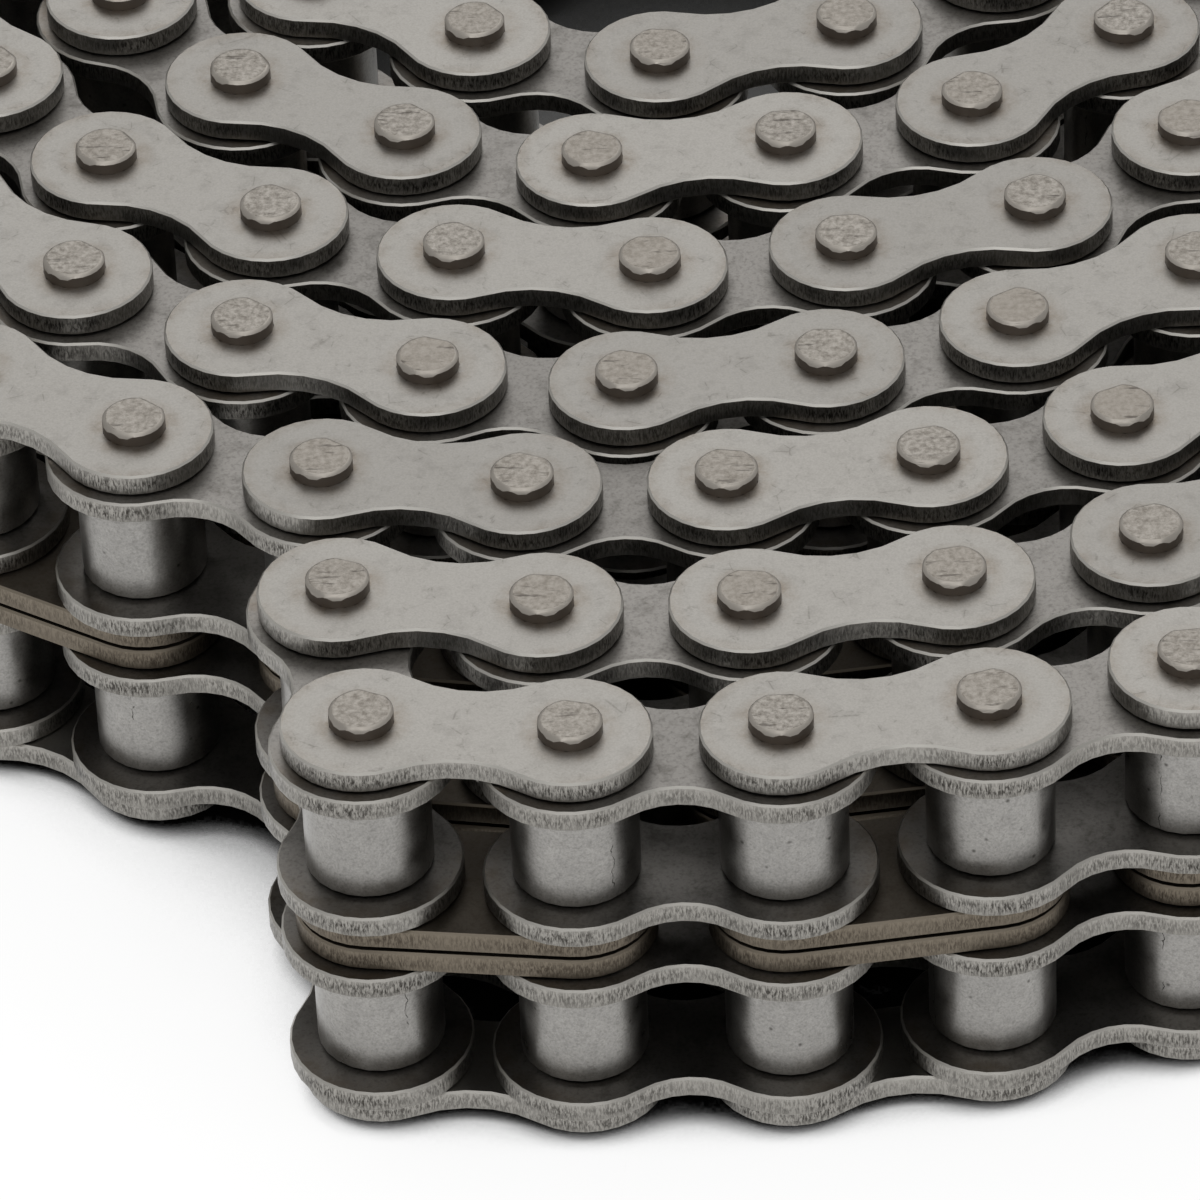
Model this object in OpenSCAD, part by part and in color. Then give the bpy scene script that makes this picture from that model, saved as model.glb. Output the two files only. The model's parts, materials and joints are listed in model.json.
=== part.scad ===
// Duplex roller chain, half-inch pitch, coiled flat on its side.
// Two roller strands run side by side on shared pins. The coil's turns nest into each other, and the
// free end folds back at the first pin and runs outside the outermost turn.
// Millimetres. +Z is up, along the pins. The lower pin ends rest on z = 0, and the origin is the middle
// of the base.

/* [Chain] */
// Distance between neighbouring pin centres
pitch = 12.7; // [12.4:0.05:13]
// Clear width between the inner plates of one strand
inner_w = 7.85; // [7.5:0.05:8.2]
// Diameter of a roller
roller_d = 7.92; // [7.6:0.02:8.2]
// Thickness of every plate
plate_t = 1.5; // [1.3:0.05:1.7]
// Diameter of a pin
pin_d = 3.97; // [3.7:0.01:4.1]
// Wall thickness of a bush
bush_wall = 0.8; // [0.65:0.05:0.9]
// How far a pin end stands out of its outer plate
pin_head = 0.95; // [0.6:0.05:1.3]
// Bevel on a pin's end
pin_bevel = 0.3; // [0.15:0.05:0.45]
// Bevel on a roller's edges
roller_bevel = 0.2; // [0.1:0.05:0.3]

/* [Plates] */
// Height of an outer plate at its ends
outer_h = 10; // [9.6:0.1:10.6]
// Height of an outer plate at its waist
outer_waist = 6.6; // [6.2:0.1:7]
// Height of an inner plate at its ends
inner_h = 11.5; // [11:0.1:11.8]
// Height of an inner plate at its waist
inner_waist = 7.3; // [6.9:0.1:7.7]

/* [Fits] */
// Running clearance of a pin in its bush, on the radius
pin_clear = 0.05; // [0.03:0.01:0.08]
// Running clearance of a bush in its roller, on the radius
roller_clear = 0.06; // [0.04:0.01:0.09]
// Gap left at a pressed seat, on the radius
seat_clear = 0.02; // [0.01:0.01:0.03]
// Gap between an inner plate and the plate beside it
side_gap = 0.125; // [0.08:0.005:0.2]
// Gap between a roller's end and an inner plate
roller_end_gap = 0.1; // [0.06:0.01:0.15]
// Gap between the two centre plates
mid_gap = 0.28; // [0.2:0.02:0.4]

/* [Coil] */
// Radius of the outermost turn at the fold
coil_r = 87.14; // [82:0.02:94]
// Direction of the fold seen from the coil's middle, in degrees
coil_start = -104.83; // [-120:0.01:-90]
// How much the outermost turn closes in over one round
turn_step = 11.13; // [10.6:0.01:13]
// Gap between the inner plates of turns that touch
turn_gap = 0.4; // [0.3:0.05:0.6]
// Most that a link may lean out to settle against the turn outside it, in degrees
lean_out = 8.75; // [4:0.25:12]
// Number of links in the coil, an even number
coil_links = 154; // [120:2:158]

/* [Hidden] */
$fn = 48;
free_links = 11;
outer_r = outer_h / 2;
inner_r = inner_h / 2;
pin_r = pin_d / 2;
bush_bore_r = pin_r + pin_clear;
bush_r = bush_bore_r + bush_wall;
roller_r = roller_d / 2;
roller_bore_r = bush_r + roller_clear;
bush_len = inner_w + 2 * plate_t;
roller_len = inner_w - 2 * roller_end_gap;
strand_pitch = inner_w + 4 * plate_t + 2 * side_gap + mid_gap;
// middle height of the chain, and of each strand (1 upper, -1 lower)
mid_z = pin_head + 2 * plate_t + side_gap + inner_w / 2 + strand_pitch / 2;
pin_len = 2 * mid_z;
function strand_z(s) = mid_z + s * strand_pitch / 2;
// distance between pin centres of turns that touch, and how far round the outermost turn is a plain spiral
turn_d = inner_h + turn_gap;
plain_turn = 324;
// closest that two turns come, where the pins of one face the middles of the other's links
nest_d = sqrt(turn_d * turn_d - pitch * pitch / 4);
// the straight-sided centre plates fill that width
centre_r = (nest_d - turn_gap) / 2;
// overlap of the waist's cutting circle with a plate's round end, so that the two arcs cross
blend = 0.05;

// A point of the outermost turn's spiral, a degrees on from the fold and off millimetres outside it
function spiral(a, off) =
  (coil_r + off - turn_step * a / 360) * [cos(coil_start + a), sin(coil_start + a)];
// The angle one pitch further along that spiral
function spiral_next(a, off, s, n) =
  n == 0 ? a + s : spiral_next(a, off, s * pitch / norm(spiral(a + s, off) - spiral(a, off)), n - 1);
function spiral_step(a, off) = spiral_next(a, off, pitch / coil_r * 180 / PI, 4);
function unit(v) = v / norm(v);
function wrap(a) = a - 360 * floor((a + 180) / 360);
// The least turn from heading head, at pin q, that keeps the next pin clear of pins 0 to n of the
// turns outside
function least_turn(q, head, pts, n) =
  max([-999, for (j = [0:1:n]) let (v = pts[j] - q, d = norm(v))
    if (d < pitch + turn_d)
      wrap(atan2(v.y, v.x) - head)
        + acos(max(-1, min(1, (pitch * pitch + d * d - turn_d * turn_d) / (2 * pitch * d))))]);
// The coil's pins from the fold inward: a plain spiral at first, then each pin set against the turn
// outside it
function wind(pts, head, a) =
  len(pts) > coil_links ? pts :
  let (
    q = pts[len(pts) - 1],
    turn = least_turn(q, head, pts, len(pts) - 8),
    plain = a < plain_turn || turn < -180,
    b = plain ? spiral_step(a, 0) : a,
    h = head + max(turn, -lean_out),
    p = q + pitch * (plain ? unit(spiral(b, 0) - q) : [cos(h), sin(h)]),
    v = p - q
  ) wind(concat(pts, [p]), atan2(v.y, v.x), b);
coil_raw = wind([spiral(0, 0)], coil_start + 90, 0);
// The free end's pins, from the coil's first pin: one link out across the fold, then along the outermost turn
fold_r = coil_r + turn_d;
fold_angle = acos((coil_r * coil_r + fold_r * fold_r - pitch * pitch) / (2 * coil_r * fold_r));
function run_out(pts, a) =
  len(pts) > free_links ? pts :
  let (q = pts[len(pts) - 1], b = len(pts) == 1 ? fold_angle : spiral_step(a, turn_d))
    run_out(concat(pts, [q + pitch * unit(spiral(b, turn_d) - q)]), b);
free_raw = run_out([coil_raw[0]], 0);
// Both are moved so that the origin is the middle of the base
all_raw = concat(coil_raw, free_raw);
shift = -[
  (min([for (p = all_raw) p.x]) + max([for (p = all_raw) p.x])) / 2,
  (min([for (p = all_raw) p.y]) + max([for (p = all_raw) p.y])) / 2];
coil_pin = [for (p = coil_raw) p + shift];
free_pin = [for (p = free_raw) p + shift];

// Outline of a waisted plate from the pin at the origin to the pin one pitch along X
module waisted(r, waist, hole_r) {
  reach = r - blend;
  cut_r = ((pitch * pitch + waist * waist) / 4 - reach * reach) / (2 * reach - waist);
  cut_y = waist / 2 + cut_r;
  band = r * cut_y / norm([pitch / 2, cut_y]);
  difference() {
    union() {
      circle(r);
      translate([pitch, 0]) circle(r);
      translate([0, -band]) square([pitch, 2 * band]);
    }
    translate([pitch / 2, cut_y]) circle(cut_r);
    translate([pitch / 2, -cut_y]) circle(cut_r);
    circle(hole_r);
    translate([pitch, 0]) circle(hole_r);
  }
}

// Outline of a straight-sided plate
module straight(r, hole_r) {
  band = r * 0.995;
  difference() {
    union() {
      circle(r);
      translate([pitch, 0]) circle(r);
      translate([0, -band]) square([pitch, 2 * band]);
    }
    circle(hole_r);
    translate([pitch, 0]) circle(hole_r);
  }
}

// Puts a link's pieces, drawn along X from its first pin, between pins a and b
module between(a, b) {
  translate([a.x, a.y, 0]) rotate([0, 0, atan2(b.y - a.y, b.x - a.x)]) children();
}

module plate(z) {
  translate([0, 0, z]) linear_extrude(plate_t) children();
}

module outer_plates() {
  for (z = [pin_head, pin_len - pin_head - plate_t])
    plate(z) waisted(outer_r, outer_waist, pin_r + seat_clear);
}

module centre_plates() {
  for (z = [mid_z - mid_gap / 2 - plate_t, mid_z + mid_gap / 2])
    plate(z) straight(centre_r, pin_r + seat_clear);
}

module inner_plates() {
  for (s = [-1, 1], z = [strand_z(s) - inner_w / 2 - plate_t, strand_z(s) + inner_w / 2])
    plate(z) waisted(inner_r, inner_waist, bush_r + seat_clear);
}

module pin() {
  rotate_extrude() polygon([
    [0, 0], [pin_r - pin_bevel, 0], [pin_r, pin_bevel],
    [pin_r, pin_len - pin_bevel], [pin_r - pin_bevel, pin_len], [0, pin_len]]);
}

module bush(s) {
  translate([0, 0, strand_z(s) - bush_len / 2]) rotate_extrude()
    translate([bush_bore_r, 0]) square([bush_wall, bush_len]);
}

module roller(s) {
  translate([0, 0, strand_z(s) - roller_len / 2]) rotate_extrude() polygon([
    [roller_bore_r, 0], [roller_r - roller_bevel, 0], [roller_r, roller_bevel],
    [roller_r, roller_len - roller_bevel], [roller_r - roller_bevel, roller_len],
    [roller_bore_r, roller_len]]);
}

module at(p) {
  translate([p.x, p.y, 0]) children();
}

plate_grey = [0.66, 0.65, 0.63];
centre_tan = [0.55, 0.49, 0.42];
inner_grey = [0.47, 0.46, 0.44];
pin_grey = [0.72, 0.69, 0.67];
bush_grey = [0.5, 0.5, 0.5];
roller_grey = [0.75, 0.75, 0.74];

// The coil: outer links start at even pins, inner links at odd pins
module coil_outer_plates() {
  color(plate_grey) for (i = [0:2:coil_links - 2]) between(coil_pin[i], coil_pin[i + 1]) outer_plates();
}

module coil_centre_plates() {
  color(centre_tan) for (i = [0:2:coil_links - 2]) between(coil_pin[i], coil_pin[i + 1]) centre_plates();
}

module coil_inner_plates() {
  color(inner_grey) for (i = [1:2:coil_links - 1]) between(coil_pin[i], coil_pin[i + 1]) inner_plates();
}

module coil_pins() {
  color(pin_grey) for (i = [0:coil_links - 1]) at(coil_pin[i]) pin();
}

module coil_bushes() {
  color(bush_grey) for (i = [1:coil_links - 1], s = [-1, 1]) at(coil_pin[i]) bush(s);
}

module coil_end_bushes() {
  color(bush_grey) for (s = [-1, 1]) at(coil_pin[coil_links]) bush(s);
}

module coil_rollers() {
  color(roller_grey) for (i = [1:coil_links], s = [-1, 1]) at(coil_pin[i]) roller(s);
}

// The free end: link k runs from free pin k - 1 to free pin k, odd links are inner links
module link_inner_plates(k) {
  color(inner_grey) between(free_pin[k - 1], free_pin[k]) inner_plates();
}

module link_bushes(k) {
  color(bush_grey) for (i = [k - 1, k], s = [-1, 1]) at(free_pin[i]) bush(s);
}

module link_roller(k, end, s) {
  color(roller_grey) at(free_pin[k - 1 + end]) roller(s);
}

module link_outer_plates(k) {
  color(plate_grey) between(free_pin[k - 1], free_pin[k]) outer_plates();
}

module link_centre_plates(k) {
  color(centre_tan) between(free_pin[k - 1], free_pin[k]) centre_plates();
}

module link_pins(k) {
  color(pin_grey) for (i = [k - 1, k]) at(free_pin[i]) pin();
}

coil_outer_plates();
coil_centre_plates();
coil_inner_plates();
coil_pins();
coil_bushes();
coil_end_bushes();
coil_rollers();
link_inner_plates(1);  // link_1_inner_plates
link_bushes(1);  // link_1_bushes
link_roller(1, 0, 1);  // link_1_near_upper_roller
link_roller(1, 0, -1);  // link_1_near_lower_roller
link_roller(1, 1, 1);  // link_1_far_upper_roller
link_roller(1, 1, -1);  // link_1_far_lower_roller
link_outer_plates(2);  // link_2_outer_plates
link_centre_plates(2);  // link_2_centre_plates
link_pins(2);  // link_2_pins
link_inner_plates(3);  // link_3_inner_plates
link_bushes(3);  // link_3_bushes
link_roller(3, 0, 1);  // link_3_near_upper_roller
link_roller(3, 0, -1);  // link_3_near_lower_roller
link_roller(3, 1, 1);  // link_3_far_upper_roller
link_roller(3, 1, -1);  // link_3_far_lower_roller
link_outer_plates(4);  // link_4_outer_plates
link_centre_plates(4);  // link_4_centre_plates
link_pins(4);  // link_4_pins
link_inner_plates(5);  // link_5_inner_plates
link_bushes(5);  // link_5_bushes
link_roller(5, 0, 1);  // link_5_near_upper_roller
link_roller(5, 0, -1);  // link_5_near_lower_roller
link_roller(5, 1, 1);  // link_5_far_upper_roller
link_roller(5, 1, -1);  // link_5_far_lower_roller
link_outer_plates(6);  // link_6_outer_plates
link_centre_plates(6);  // link_6_centre_plates
link_pins(6);  // link_6_pins
link_inner_plates(7);  // link_7_inner_plates
link_bushes(7);  // link_7_bushes
link_roller(7, 0, 1);  // link_7_near_upper_roller
link_roller(7, 0, -1);  // link_7_near_lower_roller
link_roller(7, 1, 1);  // link_7_far_upper_roller
link_roller(7, 1, -1);  // link_7_far_lower_roller
link_outer_plates(8);  // link_8_outer_plates
link_centre_plates(8);  // link_8_centre_plates
link_pins(8);  // link_8_pins
link_inner_plates(9);  // link_9_inner_plates
link_bushes(9);  // link_9_bushes
link_roller(9, 0, 1);  // link_9_near_upper_roller
link_roller(9, 0, -1);  // link_9_near_lower_roller
link_roller(9, 1, 1);  // link_9_far_upper_roller
link_roller(9, 1, -1);  // link_9_far_lower_roller
link_outer_plates(10);  // link_10_outer_plates
link_centre_plates(10);  // link_10_centre_plates
link_pins(10);  // link_10_pins
link_inner_plates(11);  // link_11_inner_plates
link_bushes(11);  // link_11_bushes
link_roller(11, 0, 1);  // link_11_near_upper_roller
link_roller(11, 0, -1);  // link_11_near_lower_roller
link_roller(11, 1, 1);  // link_11_far_upper_roller
link_roller(11, 1, -1);  // link_11_far_lower_roller
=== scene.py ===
# %% [markdown]
# # A coiled duplex roller chain
# A duplex chain is two roller strands on shared pins. Each strand has inner links, whose plates are
# pressed on bushes with a roller over each bush, and outer links, whose plates are pressed on the pins.
# The chain lies coiled on its side, so every pin stands upright and the plates lie flat.
#
# The solids come packed as a fixed frame: it says where each piece is and which body carries it. This
# lesson models each kind of piece once, with more care than the solids need, copies it to every place
# that the frame gives, and dresses it in steel.

# %% Load the frame and keep its box
import json
import math
import random

import bmesh
import bpy
import numpy as np
from mathutils import Matrix, Vector


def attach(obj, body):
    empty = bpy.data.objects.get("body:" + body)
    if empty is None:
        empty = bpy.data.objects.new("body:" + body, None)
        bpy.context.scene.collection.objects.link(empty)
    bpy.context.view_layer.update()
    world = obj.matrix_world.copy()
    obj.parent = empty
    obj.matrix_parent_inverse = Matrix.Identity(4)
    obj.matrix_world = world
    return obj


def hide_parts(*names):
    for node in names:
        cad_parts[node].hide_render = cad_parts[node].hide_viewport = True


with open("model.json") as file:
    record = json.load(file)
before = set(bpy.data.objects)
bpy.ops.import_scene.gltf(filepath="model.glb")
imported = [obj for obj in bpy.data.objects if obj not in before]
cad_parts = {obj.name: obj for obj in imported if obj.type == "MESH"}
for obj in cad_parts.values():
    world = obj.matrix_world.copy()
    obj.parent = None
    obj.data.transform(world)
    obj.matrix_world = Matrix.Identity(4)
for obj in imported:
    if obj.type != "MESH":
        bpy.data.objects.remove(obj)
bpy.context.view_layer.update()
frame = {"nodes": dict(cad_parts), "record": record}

MM = 0.001

# %% [markdown]
# ## Where every piece lies
# A node of the frame can hold hundreds of separate solids, such as all the pins of the coil. They could
# be split with Separate by Loose Parts, but that makes hundreds of objects only to measure them. Reading
# the points and giving each connected group of triangles one number is faster: every triangle passes its
# lowest number on to its corners until nothing changes.


# %% Split a node into its solids
def solids_of(node):
    """The separate solids of a CAD node: one array of points each, in millimetres."""
    mesh = frame["nodes"][node].data
    points = np.zeros(len(mesh.vertices) * 3, np.float32)
    mesh.vertices.foreach_get("co", points)
    corners = np.zeros(len(mesh.loops), np.int32)
    mesh.loops.foreach_get("vertex_index", corners)
    # triangles that meet share a point only once equal points are counted as one
    points, which = np.unique(np.round(points.reshape(-1, 3) / MM, 3), axis=0, return_inverse=True)
    triangles = which.ravel()[corners].reshape(-1, 3)
    label = np.arange(len(points))
    while True:
        passed = label.copy()
        np.minimum.at(passed, triangles.ravel(), np.repeat(label[triangles].min(axis=1), 3))
        passed = passed[passed]
        if (passed == label).all():
            return [points[label == k] for k in np.unique(label)]
        label = passed


solids = {node: solids_of(node) for node in frame["nodes"]}
print("solids:", sum(len(s) for s in solids.values()), "in", len(solids), "nodes")

# %% [markdown]
# ## From solids to places
# A pin, bush or roller is round, so the middle of its box is enough to place it. A plate also has a
# direction. It lies between two pins (or two bushes), so the two centre lines nearest to its middle give
# both its direction and its exact place. Every plate is turned so that its +Y side looks out of the coil.


# %% Turn solids into places
def middle(points):
    return (points.min(axis=0) + points.max(axis=0)) / 2


def outward_turn(x, y, along):
    """The turn about Z that lays +X along the link and points +Y away from the coil's middle."""
    if -x * math.sin(along) + y * math.cos(along) < 0:
        along += math.pi
    return along


def place(x, y, z, turn):
    return Matrix.Translation((x * MM, y * MM, z * MM)) @ Matrix.Rotation(turn, 4, "Z")


def plate_places(node, *held_by):
    """A place for each plate of a node, between the two pins or bushes nearest to its middle."""
    lines = []
    for line in (middle(s)[:2] for n in held_by for s in solids[n]):
        # an upper and a lower bush share one line
        if not lines or np.hypot(*(np.array(lines) - line).T).min() > 1:
            lines.append(line)
    lines = np.array(lines)
    places = []
    for solid in solids[node]:
        at = middle(solid)
        one, two = lines[np.argsort(np.hypot(*(lines - at[:2]).T))[:2]]
        x, y = (one + two) / 2
        along = math.atan2(*(two - one)[::-1])
        places.append(place(x, y, at[2], outward_turn(x, y, along)))
    return places


def round_places(node, turns):
    """A place for each round solid of a node. turns gives the turn about Z for a middle x, y."""
    return [place(*middle(s), turns(*middle(s)[:2])) for s in solids[node]]


# %% [markdown]
# ## Modelling helpers
# Operators work on whatever is selected, and loading the frame leaves its nodes selected, so each new
# shape starts by deselecting everything. Edges and faces are then chosen in code, by where they are.


# %% Helpers for edit mode
def open_shape():
    """Opens the new primitive in edit mode, with all of it selected."""
    bpy.ops.object.mode_set(mode="EDIT")
    bpy.ops.mesh.select_mode(type="VERT")
    bpy.ops.mesh.select_all(action="SELECT")


def pick(kind, test):
    """Selects only the edges or faces (kind EDGE or FACE) that pass a test."""
    bpy.ops.mesh.select_mode(type=kind)
    bpy.ops.mesh.select_all(action="DESELECT")
    mesh = bmesh.from_edit_mesh(bpy.context.object.data)
    for item in mesh.edges if kind == "EDGE" else mesh.faces:
        if test(item):
            item.select_set(True)
    bmesh.update_edit_mesh(bpy.context.object.data)


def close_shape(name, smooth_deg):
    """Tidies the mesh, leaves edit mode and smooths every edge that turns less than smooth_deg. Three
    attributes stay with each copy: tone, its own random number; level, -1 at its bottom and 1 at its top;
    and local, the place in the shape's own millimetres, before it is turned and moved into the chain."""
    bpy.ops.mesh.select_all(action="SELECT")
    bpy.ops.mesh.remove_doubles(threshold=0.001 * MM)
    bpy.ops.mesh.normals_make_consistent(inside=False)
    bpy.ops.object.mode_set(mode="OBJECT")
    bpy.ops.object.shade_smooth_by_angle(angle=math.radians(smooth_deg))
    shape = bpy.context.object
    shape.name = name
    shape.data.attributes.new("tone", "FLOAT", "POINT")
    heights = [v.co.z for v in shape.data.vertices]
    level = shape.data.attributes.new("level", "FLOAT", "POINT")
    level.data.foreach_set("value", [z / max(heights) for z in heights])
    local = shape.data.attributes.new("local", "FLOAT_VECTOR", "POINT")
    local.data.foreach_set("vector", [c / MM for v in shape.data.vertices for c in v.co])
    print(name, "faces:", len(shape.data.polygons))
    return shape


# %% [markdown]
# ## The plates
# Chain plates are blanked from strip: a punch drives them through a die. That leaves flat faces, a
# slightly rounded rim, and a wall with upright shear marks. Link plates are waisted, two round ends joined
# by hollow sides; the centre plates, which sit between the strands, have straight sides.
#
# A waisted outline could be cut from cylinders with booleans, but arcs that run into each other without a
# corner are cleaner when drawn: a plane is merged to one point, and Spin carries that point round each
# arc's centre in turn. Half an outline, with half of each hole, is filled and mirrored, so the faces with
# holes need no triangles. Then it is extruded to its thickness and its rims are bevelled.

# %% Sizes of the plates, in millimetres
PITCH = 12.7
HALF = PITCH / 2
PLATE_T = 1.5
PIN_R = 1.985
BUSH_R = 2.835
SEAT_CLEAR = 0.02
RIM = 0.13
OUTER_END_R, OUTER_WAIST = 5.0, 6.6
INNER_END_R, INNER_WAIST = 5.75, 7.3
CENTRE_END_R = 4.83
OUTLINE_STEP, HOLE_STEP = 12, 22.5  # degrees between the points of an arc


# %% Draw a plate
def to(x, y):
    """Draws a straight line from the selected point by x, y millimetres."""
    bpy.ops.mesh.extrude_vertices_move(TRANSFORM_OT_translate={"value": (x * MM, y * MM, 0)})


def arc(degrees, x, y, step_deg=OUTLINE_STEP):
    """Draws an arc about x, y from the selected point, counter-clockwise where degrees is above 0."""
    bpy.ops.mesh.spin(
        steps=max(2, round(abs(degrees) / step_deg)), angle=math.radians(degrees),
        center=(x * MM, y * MM, -PLATE_T / 2 * MM), axis=(0, 0, -1))


def draw_plate(name, end_r, hole_r, waist=None):
    """A plate along X with its middle at the origin; without a waist its sides are straight."""
    bpy.ops.object.select_all(action="DESELECT")
    bpy.ops.mesh.primitive_plane_add(size=MM)
    open_shape()
    bpy.ops.mesh.merge(type="CENTER")
    bpy.ops.transform.translate(value=((HALF + end_r) * MM, 0, -PLATE_T / 2 * MM))
    if waist:
        hollow_r = (HALF**2 + waist**2 / 4 - end_r**2) / (2 * end_r - waist)
        hollow_y = waist / 2 + hollow_r
        lean = math.degrees(math.atan2(hollow_y, HALF))
        arc(180 - lean, HALF, 0)
        arc(2 * lean - 180, 0, hollow_y)
        arc(180 - lean, -HALF, 0)
    else:
        arc(90, HALF, 0)
        to(-PITCH, 0)
        arc(90, -HALF, 0)
    to(end_r - hole_r, 0)
    arc(-180, -HALF, 0, HOLE_STEP)
    to(PITCH - 2 * hole_r, 0)
    arc(-180, HALF, 0, HOLE_STEP)
    bpy.ops.mesh.select_all(action="SELECT")
    bpy.ops.mesh.edge_face_add()
    bpy.ops.object.mode_set(mode="OBJECT")
    mirror = bpy.context.object.modifiers.new("other half", "MIRROR")
    mirror.use_axis = (False, True, False)
    mirror.merge_threshold = 0.001 * MM
    bpy.ops.object.modifier_apply(modifier=mirror.name)
    open_shape()
    bpy.ops.mesh.normals_make_consistent(inside=False)
    bpy.ops.mesh.extrude_region_move(TRANSFORM_OT_translate={"value": (0, 0, PLATE_T * MM)})

    def on_rim(edge):
        (x, y, z), (x2, y2, z2) = ((v.co / MM) for v in edge.verts)
        off_hole = min(math.hypot(abs(x) - HALF, y), math.hypot(abs(x2) - HALF, y2)) > hole_r + 0.2
        return abs(z - z2) < 0.01 and off_hole and edge.calc_face_angle(0) > 1

    pick("EDGE", on_rim)
    bpy.ops.mesh.bevel(offset=RIM * MM, segments=1, affect="EDGES")
    return close_shape(name, 30)


outer_plate = draw_plate("outer_plate", OUTER_END_R, PIN_R + SEAT_CLEAR, OUTER_WAIST)
inner_plate = draw_plate("inner_plate", INNER_END_R, BUSH_R + SEAT_CLEAR, INNER_WAIST)
centre_plate = draw_plate("centre_plate", CENTRE_END_R, PIN_R + SEAT_CLEAR)

# %% [markdown]
# ## The pins
# A pin runs through both strands, and its two ends are staked after the plates are on, so they can't slip
# off. Seen from above an end is a disc with a bevelled rim, cut straight along the side that faces the
# coil's middle and struck to a blunt V on the other side. Cylinder, Bevel and Bisect do that in the same
# order as the tools: the bar is cut, its rim is broken, and each blow takes one flat off the end.

# %% Model the pin
PIN_LEN = 30.38
PIN_BEVEL = 0.2
FLAT_Y = -1.6  # how far the straight cut lies from the pin's middle
V_R, V_SPREAD = 1.75, 22  # how far out the two blows of the V land, and how many degrees to each side
END_RING = 0.1


def flat(x, y, z, nx, ny, nz):
    """Cuts off what lies beyond a plane through x, y, z that looks along n, and closes the cut."""
    bpy.ops.mesh.select_all(action="SELECT")
    bpy.ops.mesh.bisect(
        plane_co=(x * MM, y * MM, z * MM), plane_no=(nx, ny, nz),
        use_fill=True, clear_outer=True, threshold=0.0005 * MM)


bpy.ops.object.select_all(action="DESELECT")
bpy.ops.mesh.primitive_cylinder_add(vertices=24, radius=PIN_R * MM, depth=PIN_LEN * MM)
open_shape()
pick("EDGE", lambda edge: edge.calc_face_angle(0) > 1)
bpy.ops.mesh.bevel(offset=PIN_BEVEL * MM, segments=1, affect="EDGES")
for end in (1, -1):
    tip = end * PIN_LEN / 2
    flat(0, FLAT_Y, tip, 0, -0.70, 0.71 * end)
    for side in (1, -1):
        spread = math.radians(V_SPREAD * side)
        flat(V_R * math.sin(spread), V_R * math.cos(spread), tip,
             0.86 * math.sin(spread), 0.86 * math.cos(spread), 0.51 * end)
# a narrow ring inside each end keeps the middle flat where the rim is shaded round, and the rim's lower
# edge stays sharp against the wall
pick("FACE", lambda face: abs(face.normal.z) > 0.99)
bpy.ops.mesh.inset(thickness=END_RING * MM)
pick("EDGE", lambda edge: min(abs(face.normal.z) for face in edge.link_faces) < 0.01
     and max(abs(face.normal.z) for face in edge.link_faces) > 0.3)
bpy.ops.mesh.mark_sharp()
pin = close_shape("pin", 50)

# %% [markdown]
# ## Rollers and bushes
# A roller is a short tube that turns on its bush, and the bush is a tube pressed into the two inner
# plates. A tube could be a curve with a bevel; here it is a cylinder whose end faces are inset to the bore
# and bridged, which drills it through. The roller's outer rims are bevelled, as tumbling leaves them.

# %% Model the roller and the bush
ROLLER_R, ROLLER_BORE_R, ROLLER_LEN, ROLLER_BEVEL = 3.96, 2.895, 7.65, 0.2
BUSH_BORE_R, BUSH_LEN, BUSH_BEVEL = 2.035, 10.85, 0.1


def draw_tube(name, radius, bore_r, length, bevel, sides):
    bpy.ops.object.select_all(action="DESELECT")
    bpy.ops.mesh.primitive_cylinder_add(vertices=sides, radius=radius * MM, depth=length * MM)
    open_shape()
    pick("FACE", lambda face: abs(face.normal.z) > 0.9)
    # an inset moves the sides in by its thickness, so corners of a many-sided end move in a little more
    bpy.ops.mesh.inset(thickness=(radius - bore_r) * math.cos(math.pi / sides) * MM)
    pick("FACE", lambda face: abs(face.normal.z) > 0.9 and len(face.verts) == sides)
    bpy.ops.mesh.bridge_edge_loops()
    pick("EDGE", lambda edge: edge.calc_face_angle(0) > 1
         and min(v.co.xy.length for v in edge.verts) > (radius - 0.01) * MM)
    bpy.ops.mesh.bevel(offset=bevel * MM, segments=1, affect="EDGES")
    return close_shape(name, 30)


roller = draw_tube("roller", ROLLER_R, ROLLER_BORE_R, ROLLER_LEN, ROLLER_BEVEL, 24)
bush = draw_tube("bush", BUSH_R, BUSH_BORE_R, BUSH_LEN, BUSH_BEVEL, 16)

# %% [markdown]
# ## Colour and node helpers
# Colours are written as sRGB hex, the way a picture shows them, and Blender's sockets take linear light, so
# one function converts them. Another adds one node with its settings and links; every finish below is
# built from it. Patterns read Object coordinates in millimetres, so a scale is one over a real size.


# %% Helpers for the finishes
def paint(code):
    """An sRGB hex colour as linear RGBA."""
    parts = [int(code[i:i + 2], 16) / 255 for i in (1, 3, 5)]
    return (*[c / 12.92 if c <= 0.04045 else ((c + 0.055) / 1.055) ** 2.4 for c in parts], 1)


def put(tree, kind, values=None, links=None, **settings):
    """Adds a node: its own settings, the values of its sockets, and the outputs that feed its sockets."""
    node = tree.nodes.new("ShaderNode" + kind)
    for name, value in settings.items():
        setattr(node, name, value)
    for socket, value in (values or {}).items():
        node.inputs[socket].default_value = value
    for socket, output in (links or {}).items():
        tree.links.new(output, node.inputs[socket])
    return node


APART = 60.0  # patterns of two solids lie up to this many millimetres apart


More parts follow.
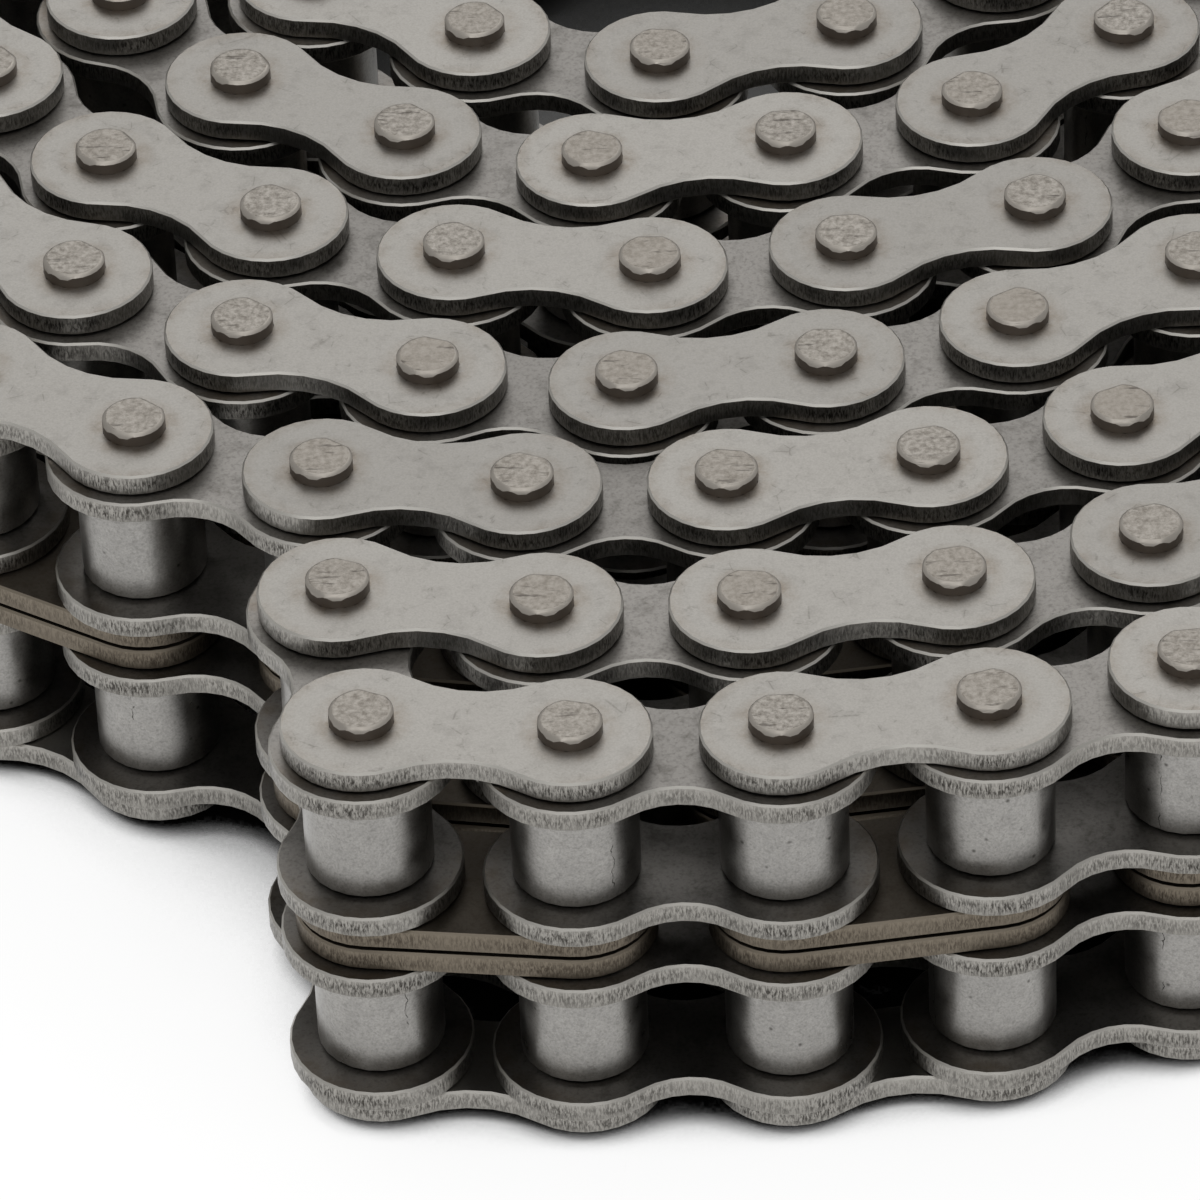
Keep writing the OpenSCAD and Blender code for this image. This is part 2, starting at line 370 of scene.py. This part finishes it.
def new_finish(name):
    """A steel finish to build on: its node tree, its shader, and a dictionary of what patterns read.
    mm is the place on the piece in millimetres; own is the same place moved apart for each solid, so that
    patterns don't run on from one solid to the next; tone, level and local are the shape's attributes;
    up is 1 on a flat-lying face and 0 on a wall."""
    material = bpy.data.materials.new(name)
    material.use_nodes = True
    tree = material.node_tree
    shader = tree.nodes["Principled BSDF"]
    shader.inputs["Metallic"].default_value = 1.0
    where = put(tree, "TexCoord").outputs["Object"]
    mm = put(tree, "VectorMath", {"Scale": 1 / MM}, {0: where}, operation="SCALE").outputs[0]
    tone = put(tree, "Attribute", attribute_name="tone").outputs["Fac"]
    apart = put(tree, "Math", {1: APART}, {0: tone}, operation="MULTIPLY").outputs[0]
    own = put(tree, "VectorMath", links={0: mm, 1: apart}, operation="ADD").outputs[0]
    level = put(tree, "Attribute", attribute_name="level").outputs["Fac"]
    local = put(tree, "Attribute", attribute_name="local").outputs["Vector"]
    normal = put(tree, "SeparateXYZ", links={0: put(tree, "NewGeometry").outputs["Normal"]})
    up = put(tree, "Math", links={0: normal.outputs["Z"]}, operation="ABSOLUTE").outputs[0]
    read = {"mm": mm, "own": own, "tone": tone, "level": level, "local": local, "up": up}
    return material, tree, shader, read


# %% [markdown]
# ## Blanked plate steel
# The plates are medium-carbon steel, hardened, then tumbled to a warm grey satin and oiled. What the eye
# sees: a soft sheen with cloudy patches a few millimetres wide, fine grit, small dark pits, stains and
# hairline scratches, brown oil dried round the pins, darkest at each pin's base as painted shade, a thin rim
# painted pale as a highlight, and on the walls short upright shear marks along the middle, most at the round
# ends, with painted shade that darkens each wall towards its bottom edge.
#
# A picture of a worn plate could be wrapped round each copy, but nodes that read the plate's own millimetres
# give every plate its own wear. The zones come first, then the faces, then the walls, and the last cell puts
# them together. The three kinds of plate share the finish in three shades: outer plates are cleanest, inner
# ones are darker and more stained, and the centre plates keep a straw tint from tempering.


# %% Zones of a plate
RING_FROM, RING_TO = PIN_R + 0.1, PIN_R + 1.3
END_RIM_FROM, END_RIM_TO = 4.0, 5.2


def plate_zones(tree, local):
    """Where a point lies on its plate, in millimetres: to_pin is from the nearer pin's centre, past_pin is
    beyond that pin, towards the plate's end, and below 0 between the two pins."""
    along = put(tree, "SeparateXYZ", links={0: local}).outputs
    past_pin = put(tree, "Math", links={0: along["X"]}, operation="ABSOLUTE").outputs[0]
    past_pin = put(tree, "Math", {1: HALF}, {0: past_pin}, operation="SUBTRACT").outputs[0]
    to_pin = put(tree, "CombineXYZ", links={0: past_pin, 1: along["Y"]}).outputs[0]
    to_pin = put(tree, "VectorMath", links={0: to_pin}, operation="LENGTH").outputs["Value"]
    return to_pin, past_pin


def dried_oil(tree, read):
    """Dried brown oil in patches round the plate's ends, and a ring round each pin: dried oil with painted
    shade, darkest at the pin.
    """
    # painted shade: the ring is darkest where the pin meets the plate and fades out over 1.2 mm
    ring = put(tree, "MapRange", {1: RING_FROM, 2: RING_TO, 3: 1.0, 4: 0.0}, {0: read["to_pin"]}).outputs[0]
    far = put(tree, "MapRange", {1: END_RIM_FROM, 2: END_RIM_TO}, {0: read["to_pin"]}).outputs[0]
    end = put(tree, "MapRange", {1: -1.0, 2: 1.5, 4: 0.8}, {0: read["past_pin"]}).outputs[0]
    far = put(tree, "Math", links={0: far, 1: end}, operation="MULTIPLY").outputs[0]
    oil = put(tree, "Math", links={0: ring, 1: far}, operation="MAXIMUM").outputs[0]
    dried = put(tree, "MapRange", {1: 0.35, 2: 0.65, 3: 0.1, 4: 0.75}, {0: read["patchy"]}).outputs[0]
    return put(tree, "Math", links={0: oil, 1: dried}, operation="MULTIPLY").outputs[0]


# %% Faces of a plate
PIT, NICK_CELL = 0.25, 2.0  # millimetres
DRIED_OIL_AND_PIN_SHADE, NICK = "#82776A", "#65615B"


def face_colour(tree, read, face, stain, stained, pitted):
    blots = put(tree, "MapRange", {1: 0.5, 2: 0.72, 4: stained}, {0: read["patchy"]}).outputs[0]
    # tumbling leaves small pits that hold oil
    pits = put(tree, "TexNoise", {"Scale": 1 / PIT, "Detail": 2.0}, {"Vector": read["own"]}).outputs["Fac"]
    pits = put(tree, "MapRange", {1: 0.5, 2: 0.72, 4: pitted}, {0: pits}).outputs[0]
    # nicks and hairline scratches: short stretches of the borders of cells, where the stains are strong
    cells = put(tree, "TexVoronoi", {"Scale": 1 / NICK_CELL}, {"Vector": read["own"]},
                feature="DISTANCE_TO_EDGE").outputs[0]
    nicks = put(tree, "MapRange", {1: 0.01, 2: 0.025, 3: 1.0, 4: 0.0}, {0: cells}).outputs[0]
    strong = put(tree, "MapRange", {1: 0.54, 2: 0.64, 4: 0.4}, {0: read["patchy"]}).outputs[0]
    nicks = put(tree, "Math", links={0: nicks, 1: strong}, operation="MULTIPLY").outputs[0]
    colour = put(tree, "Mix", {6: paint(face), 7: paint(stain)}, {0: blots}, data_type="RGBA").outputs[2]
    # the dried-oil mark round each pin is also painted shade
    for mark, shade in ((pits, stain), (read["oil"], DRIED_OIL_AND_PIN_SHADE), (nicks, NICK)):
        colour = put(tree, "Mix", {7: paint(shade)}, {0: mark, 6: colour}, data_type="RGBA").outputs[2]
    # clouds, the plate's own tone and grit make it darker or lighter
    for pattern, low, high, darker, lighter in (
            ("clouds", 0.3, 0.7, 0.9, 1.08), ("tone", 0.0, 1.0, 0.9, 1.06), ("grit", 0.3, 0.7, 0.94, 1.06)):
        shade = put(tree, "MapRange", {1: low, 2: high, 3: darker, 4: lighter}, {0: read[pattern]}).outputs[0]
        colour = put(tree, "VectorMath", links={0: colour, "Scale": shade}, operation="SCALE").outputs[0]
    return colour


# %% Walls of a plate
SHEAR, SHEAR_STRETCH = 0.12, 4  # millimetres across, and how many times longer upright


def wall_marks(tree, read, dark, light):
    """The colour of the walls, with painted shade towards their bottom edge, and the pattern of the shear
    marks for the relief.
    """
    upright = put(tree, "Mapping", {"Scale": (1, 1, 1 / SHEAR_STRETCH)}, {"Vector": read["own"]}).outputs[0]
    shear = put(tree, "TexNoise", {"Scale": 1 / SHEAR, "Detail": 3.0, "Roughness": 0.65, "Distortion": 0.4},
                {"Vector": upright}).outputs["Fac"]
    marks = put(tree, "MapRange", {1: 0.60, 2: 0.40}, {0: shear}).outputs[0]
    # torn most along the middle of the wall, in patches, and more at the round ends than in the waist
    off_middle = put(tree, "Math", links={0: read["level"]}, operation="ABSOLUTE").outputs[0]
    for pattern, low, high, first, last in (
            (off_middle, 0.3, 0.9, 1.0, 0.4), (read["clouds"], 0.35, 0.55, 0.6, 1.0),
            (read["past_pin"], -4.5, -1.5, 0.75, 1.0)):
        torn = put(tree, "MapRange", {1: low, 2: high, 3: first, 4: last}, {0: pattern}).outputs[0]
        marks = put(tree, "Math", links={0: marks, 1: torn}, operation="MULTIPLY").outputs[0]
    colour = put(tree, "Mix", {6: paint(light), 7: paint(dark)}, {0: marks}, data_type="RGBA").outputs[2]
    # painted shade: each wall darkens towards its bottom edge, to three quarters of its colour
    painted_wall_shade_low = put(tree, "MapRange", {1: -1.0, 3: 0.75, 4: 1.0}, {0: read["level"]}).outputs[0]
    colour = put(tree, "VectorMath", links={0: colour, "Scale": painted_wall_shade_low}, operation="SCALE").outputs[0]
    return colour, shear


# %% Finish for the plates
CLOUD, STAIN, GRIT = 5.0, 1.5, 0.14  # millimetres


def blanked_steel(name, face, stain, wall_dark, wall_light, rim, stained, pitted, rough):
    material, tree, shader, read = new_finish(name)
    for pattern, size, detail, ruggedness, where in (
            ("clouds", CLOUD, 2.0, 0.5, "own"), ("patchy", STAIN, 4.0, 0.7, "own"),
            ("grit", GRIT, 2.0, 0.5, "mm")):
        noise = {"Scale": 1 / size, "Detail": detail, "Roughness": ruggedness}
        read[pattern] = put(tree, "TexNoise", noise, {"Vector": read[where]}).outputs["Fac"]
    read["to_pin"], read["past_pin"] = plate_zones(tree, read["local"])
    read["oil"] = dried_oil(tree, read)
    on_face = face_colour(tree, read, face, stain, stained, pitted)
    on_wall, shear = wall_marks(tree, read, wall_dark, wall_light)
    # flat faces, walls, and the rim between them; the rim's pale colour is a painted highlight
    flat_face = put(tree, "MapRange", {1: 0.9, 2: 0.97}, {0: read["up"]}).outputs[0]
    wall = put(tree, "MapRange", {1: 0.4, 2: 0.2, 3: 0.0, 4: 1.0}, {0: read["up"]}).outputs[0]
    colour = put(tree, "Mix", {6: paint(rim)}, {0: flat_face, 7: on_face}, data_type="RGBA").outputs[2]
    colour = put(tree, "Mix", links={0: wall, 6: colour, 7: on_wall}, data_type="RGBA").outputs[2]
    tree.links.new(colour, shader.inputs["Base Color"])

    gloss = put(tree, "MapRange", {1: 0.3, 2: 0.7, 3: rough - 0.06, 4: rough + 0.08},
                {0: read["clouds"]}).outputs[0]
    gloss = put(tree, "Mix", {3: rough}, {0: wall, 2: gloss}).outputs[0]
    tree.links.new(gloss, shader.inputs["Roughness"])
    rugged = put(tree, "Math", links={0: shear, 1: wall}, operation="MULTIPLY").outputs[0]
    relief = put(tree, "Bump", {"Strength": 1.0, "Distance": 0.03 * MM}, {"Height": rugged})
    relief = put(tree, "Bump", {"Strength": 0.6, "Distance": 0.006 * MM},
                 {"Height": read["grit"], "Normal": relief.outputs[0]})
    tree.links.new(relief.outputs[0], shader.inputs["Normal"])
    return material


# the fifth colour of each, the rim's, is a painted highlight
outer_steel = blanked_steel("tumbled plate steel, clean", "#9C9994", "#827F7A",
                            "#484541", "#A8A59F", "#C0BDB7", 0.45, 0.2, 0.40)
inner_steel = blanked_steel("tumbled plate steel, oiled", "#888581", "#5F5C58",
                            "#43403C", "#A5A29C", "#B9B6B0", 0.7, 0.5, 0.38)
centre_steel = blanked_steel("straw-tempered plate steel", "#6A635A", "#534B42",
                             "#50483F", "#81786B", "#867D70", 0.6, 0.4, 0.45)
print("plate finishes:", outer_steel.name, inner_steel.name, centre_steel.name, sep="\n  ")

# %% [markdown]
# ## Staked pin steel
# The pins are case-hardened alloy steel. Their ends are struck, so they show a crushed, faintly brown grain
# and dark scratches, their bevelled rim is painted pale as a highlight, and their sides are ground smooth and
# oily. The scratches could be modelled, but they are finer than the rim's bevel, so noise that is stretched
# one way draws them.

# %% Finish for the pins
pin_steel, tree, shader, read = new_finish("staked case-hardened steel")
CRUSHED, SCRATCH = 0.4, 0.4  # millimetres; a scratch is about six times as long as it is wide
grain = put(tree, "TexNoise", {"Scale": 1 / CRUSHED, "Detail": 5.0, "Roughness": 0.7},
            {"Vector": read["own"]}).outputs["Fac"]
across = put(tree, "Mapping", {"Rotation": (0, 0, 0.35), "Scale": (0.16, 1, 1)},
             {"Vector": read["own"]}).outputs[0]
scratch = put(tree, "TexNoise", {"Scale": 1 / SCRATCH, "Detail": 3.0, "Roughness": 0.7},
              {"Vector": across}).outputs["Fac"]
scratch = put(tree, "MapRange", {1: 0.6, 2: 0.7, 4: 0.7}, {0: scratch}).outputs[0]
flat_end = put(tree, "MapRange", {1: 0.9, 2: 0.97}, {0: read["up"]}).outputs[0]
side = put(tree, "MapRange", {1: 0.25, 2: 0.1, 3: 0.0, 4: 1.0}, {0: read["up"]}).outputs[0]
mix = put(tree, "MapRange", {1: 0.35, 2: 0.65}, {0: grain}).outputs[0]
crushed = put(tree, "Mix", {6: paint("#69645D"), 7: paint("#A8A39C")}, {0: mix},
              data_type="RGBA").outputs[2]
brown = put(tree, "MapRange", {4: 0.5}, {0: read["tone"]}).outputs[0]
crushed = put(tree, "Mix", {7: paint("#8B847B")}, {0: brown, 6: crushed}, data_type="RGBA").outputs[2]
crushed = put(tree, "Mix", {7: paint("#47413C")}, {0: scratch, 6: crushed}, data_type="RGBA").outputs[2]
# painted highlight: the bevelled rim between end and side takes this pale colour
colour = put(tree, "Mix", {6: paint("#ACA69E")}, {0: flat_end, 7: crushed}, data_type="RGBA").outputs[2]
colour = put(tree, "Mix", {7: paint("#79716A")}, {0: side, 6: colour}, data_type="RGBA").outputs[2]
tree.links.new(colour, shader.inputs["Base Color"])
gloss = put(tree, "MapRange", {1: 0.3, 2: 0.7, 3: 0.3, 4: 0.48}, {0: grain}).outputs[0]
tree.links.new(gloss, shader.inputs["Roughness"])
relief = put(tree, "Bump", {"Strength": 0.6, "Distance": 0.02 * MM}, {"Height": grain})
relief = put(tree, "Bump", {"Strength": 0.8, "Distance": 0.02 * MM},
             {"Height": scratch, "Normal": relief.outputs[0]}, invert=True)
tree.links.new(relief.outputs[0], shader.inputs["Normal"])
print("pin finish:", pin_steel.name)

# %% [markdown]
# ## Drawn roller steel
# Rollers are curled or drawn from strip and tumbled, so they are the palest pieces: satin, with a fine even
# grain, faint mottles, dark specks, and now and then a hairline seam down the side. Noises of four sizes make
# all but the pits and the seam: pits are the middles of cells, and the seam follows the roller's UV map,
# because that runs once round it.

# %% Finish for the rollers
roller_steel, tree, shader, read = new_finish("tumbled drawn steel")
FINE, SPECK, MOTTLE, HAZE, PIT_CELL, BEND = 0.13, 0.2, 0.7, 2.5, 2.0, 0.8  # millimetres
specks = put(tree, "TexNoise", {"Scale": 1 / SPECK, "Detail": 2.0}, {"Vector": read["own"]}).outputs["Fac"]
dark = put(tree, "MapRange", {1: 0.48, 2: 0.75, 4: 0.5}, {0: specks}).outputs[0]
grain = put(tree, "TexNoise", {"Scale": 1 / FINE, "Detail": 2.0}, {"Vector": read["own"]}).outputs["Fac"]
mottle = put(tree, "TexNoise", {"Scale": 1 / MOTTLE, "Detail": 3.0, "Roughness": 0.6},
             {"Vector": read["own"]}).outputs["Fac"]
clouds = put(tree, "TexNoise", {"Scale": 1 / HAZE, "Detail": 3.0, "Roughness": 0.6},
             {"Vector": read["own"]}).outputs["Fac"]
# pits: dots of about 0.15 mm, one in each cell
pits = put(tree, "TexVoronoi", {"Scale": 1 / PIT_CELL}, {"Vector": read["own"]}).outputs["Distance"]
pits = put(tree, "MapRange", {1: 0.03, 2: 0.09, 3: 0.75, 4: 0.0}, {0: pits}).outputs[0]
# a seam: one hair's width of the way round, 0.06 mm of 25 mm, bent by noise, on about a third of them
around = put(tree, "SeparateXYZ", links={0: put(tree, "TexCoord").outputs["UV"]}).outputs["X"]
bend = put(tree, "TexNoise", {"Scale": 1 / BEND, "Detail": 2.0}, {"Vector": read["own"]}).outputs["Fac"]
line = put(tree, "Math", {1: 0.03}, {0: bend, 2: around}, operation="MULTIPLY_ADD").outputs[0]
apart = put(tree, "Math", {1: 13.0}, {0: read["tone"]}, operation="MULTIPLY").outputs[0]
spot = put(tree, "Math", links={0: apart}, operation="FRACT").outputs[0]
seam = put(tree, "Math", {2: 0.0012}, {0: line, 1: spot}, operation="COMPARE").outputs[0]
seam = put(tree, "Math", links={0: seam, 1: clouds}, operation="MULTIPLY").outputs[0]
seam = put(tree, "MapRange", {1: 0.5, 2: 0.54, 4: 0.85}, {0: seam}).outputs[0]
pale = put(tree, "MapRange", {1: 0.3, 2: 0.7}, {0: grain}).outputs[0]
colour = put(tree, "Mix", {6: paint("#92908D"), 7: paint("#A19F9B")}, {0: pale},
             data_type="RGBA").outputs[2]
for mark, code in ((dark, "#6E6C69"), (pits, "#3B3835"), (seam, "#2E2B28")):
    colour = put(tree, "Mix", {7: paint(code)}, {0: mark, 6: colour}, data_type="RGBA").outputs[2]
shade = put(tree, "MapRange", {1: 0.3, 2: 0.7, 3: 0.9, 4: 1.1}, {0: clouds}).outputs[0]
mottle = put(tree, "MapRange", {1: 0.3, 2: 0.7, 3: 0.93, 4: 1.07}, {0: mottle}).outputs[0]
shade = put(tree, "Math", links={0: shade, 1: mottle}, operation="MULTIPLY").outputs[0]
colour = put(tree, "VectorMath", links={0: colour, "Scale": shade}, operation="SCALE").outputs[0]
tree.links.new(colour, shader.inputs["Base Color"])
gloss = put(tree, "MapRange", {1: 0.3, 2: 0.7, 3: 0.27, 4: 0.42}, {0: clouds}).outputs[0]
tree.links.new(gloss, shader.inputs["Roughness"])
height = put(tree, "Math", links={0: pale, 1: dark}, operation="SUBTRACT").outputs[0]
relief = put(tree, "Bump", {"Strength": 0.6, "Distance": 0.004 * MM}, {"Height": height})
tree.links.new(relief.outputs[0], shader.inputs["Normal"])
print("roller finish:", roller_steel.name)

# %% [markdown]
# ## Ground bush steel
# The bushes are nearly hidden: only their ends show, at the two open ends of the chain, as dark oily rings.
# One noise, an oil film, is enough for them.

# %% Finish for the bushes
bush_steel, tree, shader, read = new_finish("ground bush steel, oily")
FILM = 1.2  # millimetres
film = put(tree, "TexNoise", {"Scale": 1 / FILM, "Detail": 3.0}, {"Vector": read["own"]}).outputs["Fac"]
film = put(tree, "MapRange", {1: 0.3, 2: 0.7}, {0: film}).outputs[0]
colour = put(tree, "Mix", {6: paint("#5C5853"), 7: paint("#8B8781")}, {0: film},
             data_type="RGBA").outputs[2]
tree.links.new(colour, shader.inputs["Base Color"])
gloss = put(tree, "MapRange", {3: 0.25, 4: 0.42}, {0: film}).outputs[0]
tree.links.new(gloss, shader.inputs["Roughness"])
print("bush finish:", bush_steel.name)

# %% [markdown]
# ## Lay the chain
# Each modelled shape is copied to all of its places, every copy with a mesh of its own, and the copies of
# one node are joined into one piece. A copy also gets a random tone, fixed by a seed, so that no two plates
# look alike. The piece then takes the node's place in the frame: it rides on the node's body, and the node
# is hidden. The link bodies turn at their hinges and the rollers on their bushes, so each piece follows.

# %% Copy, join and hand over
chance = random.Random(11)
bodies = frame["record"]["behaviour"]["bodies"]
body_of_node = {node: body for body, nodes in bodies.items() for node in nodes}
PIN_SWAY = 14  # degrees by which a pin's struck side may look away from straight out


def lay(node, shape, places, finish):
    bpy.ops.object.select_all(action="DESELECT")
    copies = []
    for at in places:
        copy = shape.copy()
        copy.data = shape.data.copy()
        copy.data.transform(at)
        tones = [chance.random()] * len(copy.data.vertices)
        copy.data.attributes["tone"].data.foreach_set("value", tones)
        bpy.context.collection.objects.link(copy)
        copy.select_set(True)
        copies.append(copy)
    piece = copies[0]
    bpy.context.view_layer.objects.active = piece
    if len(copies) > 1:
        bpy.ops.object.join()
    piece.name = piece.data.name = "steel_" + node
    piece.data.materials.append(finish)
    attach(piece, body_of_node[node])
    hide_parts(node)


def any_turn(x, y):
    return chance.uniform(0, 2 * math.pi)


def facing_out(x, y):
    return math.atan2(y, x) - math.pi / 2 + math.radians(chance.uniform(-PIN_SWAY, PIN_SWAY))


for node in sorted(frame["nodes"]):
    group = node.rsplit("_", 2)[0] if node.endswith("plates") else node.rsplit("_", 1)[0]
    if node.endswith("outer_plates"):
        lay(node, outer_plate, plate_places(node, group + "_pins"), outer_steel)
    elif node.endswith("centre_plates"):
        lay(node, centre_plate, plate_places(node, group + "_pins"), centre_steel)
    elif node.endswith("inner_plates"):
        held_by = [n for n in (group + "_bushes", group + "_end_bushes") if n in solids]
        lay(node, inner_plate, plate_places(node, *held_by), inner_steel)
    elif node.endswith("pins"):
        lay(node, pin, round_places(node, facing_out), pin_steel)
    elif node.endswith("bushes"):
        lay(node, bush, round_places(node, any_turn), bush_steel)
    else:
        lay(node, roller, round_places(node, any_turn), roller_steel)
for shape in (outer_plate, inner_plate, centre_plate, pin, roller, bush):
    bpy.data.objects.remove(shape)

# %% [markdown]
# ## Stage and light
# A metal shows what surrounds it, so the studio is most of its look: an even pale room, a wide soft box
# behind and above the coil, which the flat plates mirror to the camera, one overhead, which reaches down
# between the turns, and one above the camera, which lights the rims that face it. Round the coil the floor is
# white for the camera and for reflections, through Light Path. Ambient Occlusion dims that white glow into a
# painted shadow where the coil stands, and inside the coil it paints the floor dark for the camera, a painted
# shade where little of the room's light comes down.

# %% Floor
bpy.ops.object.select_all(action="DESELECT")
FLOOR_R, FLOOR_Z = 3.0, -0.0002  # metres
bpy.ops.mesh.primitive_circle_add(vertices=64, radius=FLOOR_R, fill_type="NGON", location=(0, 0, FLOOR_Z))
floor = bpy.context.object
floor.name = "floor"
floor_paint = bpy.data.materials.new("matt white floor")
floor_paint.use_nodes = True
tree = floor_paint.node_tree
shader = tree.nodes["Principled BSDF"]
shader.inputs["Roughness"].default_value = 0.9
ray = put(tree, "LightPath").outputs
seen = put(tree, "Math", links={0: ray["Is Camera Ray"], 1: ray["Is Glossy Ray"]}, operation="MAXIMUM")
seen = put(tree, "Math", links={0: seen.outputs[0], 1: ray["Is Transmission Ray"]}, operation="MAXIMUM")
# painted shadow: the white glow is dimmed by Ambient Occlusion round the coil's foot
open_sky = put(tree, "AmbientOcclusion", {"Distance": 0.1}, samples=16).outputs["AO"]
white = put(tree, "MapRange", {1: 0.22, 2: 0.45, 4: 1.1}, {0: open_sky}).outputs[0]
glow = put(tree, "Emission", links={"Strength": white})
# painted shade: for the camera the floor's colour goes dark where Ambient Occlusion finds the room hidden
painted_coil_shade = put(tree, "MapRange", {1: 0.8, 2: 0.3, 4: 0.97}, {0: open_sky}).outputs[0]
painted_coil_shade = put(tree, "Math", links={0: painted_coil_shade, 1: ray["Is Camera Ray"]}, operation="MULTIPLY").outputs[0]
colour = put(tree, "Mix", {6: paint("#EAEAE9"), 7: paint("#141413")}, {0: painted_coil_shade},
             data_type="RGBA").outputs[2]
tree.links.new(colour, shader.inputs["Base Color"])
away = put(tree, "VectorMath", links={0: put(tree, "TexCoord").outputs["Object"]}, operation="LENGTH")
# white starts under the coil's outer turns, 60 to 70 mm from its middle
outside = put(tree, "MapRange", {1: 0.06, 2: 0.07, 4: 0.85}, {0: away.outputs["Value"]}).outputs[0]
keep = put(tree, "Math", links={0: seen.outputs[0], 1: outside}, operation="MULTIPLY")
both = put(tree, "MixShader", links={0: keep.outputs[0], 1: shader.outputs[0], 2: glow.outputs[0]})
tree.links.new(both.outputs[0], tree.nodes["Material Output"].inputs["Surface"])
floor.data.materials.append(floor_paint)
print("floor:", floor_paint.name, "radius, m:", FLOOR_R)

# %% Room and lamps
world = bpy.data.worlds.new("pale room")
bpy.context.scene.world = world
world.use_nodes = True
world.node_tree.nodes["Background"].inputs["Color"].default_value = paint("#F4F4F3")
world.node_tree.nodes["Background"].inputs["Strength"].default_value = 0.55


def soft_box(name, width, height, spot, aim, radiance):
    """A rectangular lamp. An area lamp of P watts and A square metres shows as P / (pi A) bright."""
    light = bpy.data.lights.new(name, "AREA")
    light.shape, light.size, light.size_y = "RECTANGLE", width, height
    light.energy = radiance * math.pi * width * height
    lamp = bpy.data.objects.new(name, light)
    bpy.context.scene.collection.objects.link(lamp)
    lamp.location = spot
    lamp.rotation_euler = (Vector(aim) - Vector(spot)).to_track_quat("-Z", "Y").to_euler()
    print(name, "watts:", round(light.energy, 2))


soft_box("soft box behind", 0.9, 0.6, (0.05, 0.55, 0.60), (0, 0, 0), 0.97)
soft_box("soft box overhead", 0.7, 0.4, (0, -0.02, 0.95), (0, 0, 0), 0.9)
soft_box("soft box above the camera", 0.8, 0.4, (-0.1, -0.55, 0.95), (0, 0, 0), 1.1)

# %% [markdown]
# ## Camera
# The camera stands where the photograph was taken: about 40 degrees above the floor, a little over half a
# metre from the front of the coil, with a long lens, and rolled a little. It looks at a point at the height
# of the pins' tops near the fold, so only the front of the coil is in view. Turning its axes by hand, from
# angles that were measured, is surer here than a Track To constraint, which leaves no roll.

# %% Camera
ELEVATION, DISTANCE, ROLL = math.radians(39.69), 576.1, math.radians(-2.60)
HEADING = math.radians(1.17)
FOCAL_PX, FRAME_PX, SENSOR = 9442.0, 1200, 36.0
AIM = (-9.85, -78.65, 30.38)
turn = Matrix.Rotation(HEADING, 3, "Z")
forward = turn @ Vector((0, math.cos(ELEVATION), -math.sin(ELEVATION)))
right = turn @ Vector((1, 0, 0))
down = forward.cross(right)
image_right = math.cos(ROLL) * right - math.sin(ROLL) * down
image_down = math.sin(ROLL) * right + math.cos(ROLL) * down
lens = bpy.data.cameras.new("camera")
lens.sensor_width, lens.lens = SENSOR, SENSOR * FOCAL_PX / FRAME_PX
lens.clip_start, lens.clip_end = 0.01, 20
camera = bpy.data.objects.new("camera", lens)
bpy.context.scene.collection.objects.link(camera)
facing = Matrix((image_right, -image_down, -forward)).transposed()
camera.matrix_world = Matrix.Translation(Vector(AIM) * MM - forward * DISTANCE * MM) @ facing.to_4x4()
bpy.context.scene.camera = camera
bpy.context.scene.view_settings.view_transform = "Standard"
print("camera at, mm:", [round(v / MM, 1) for v in camera.location])
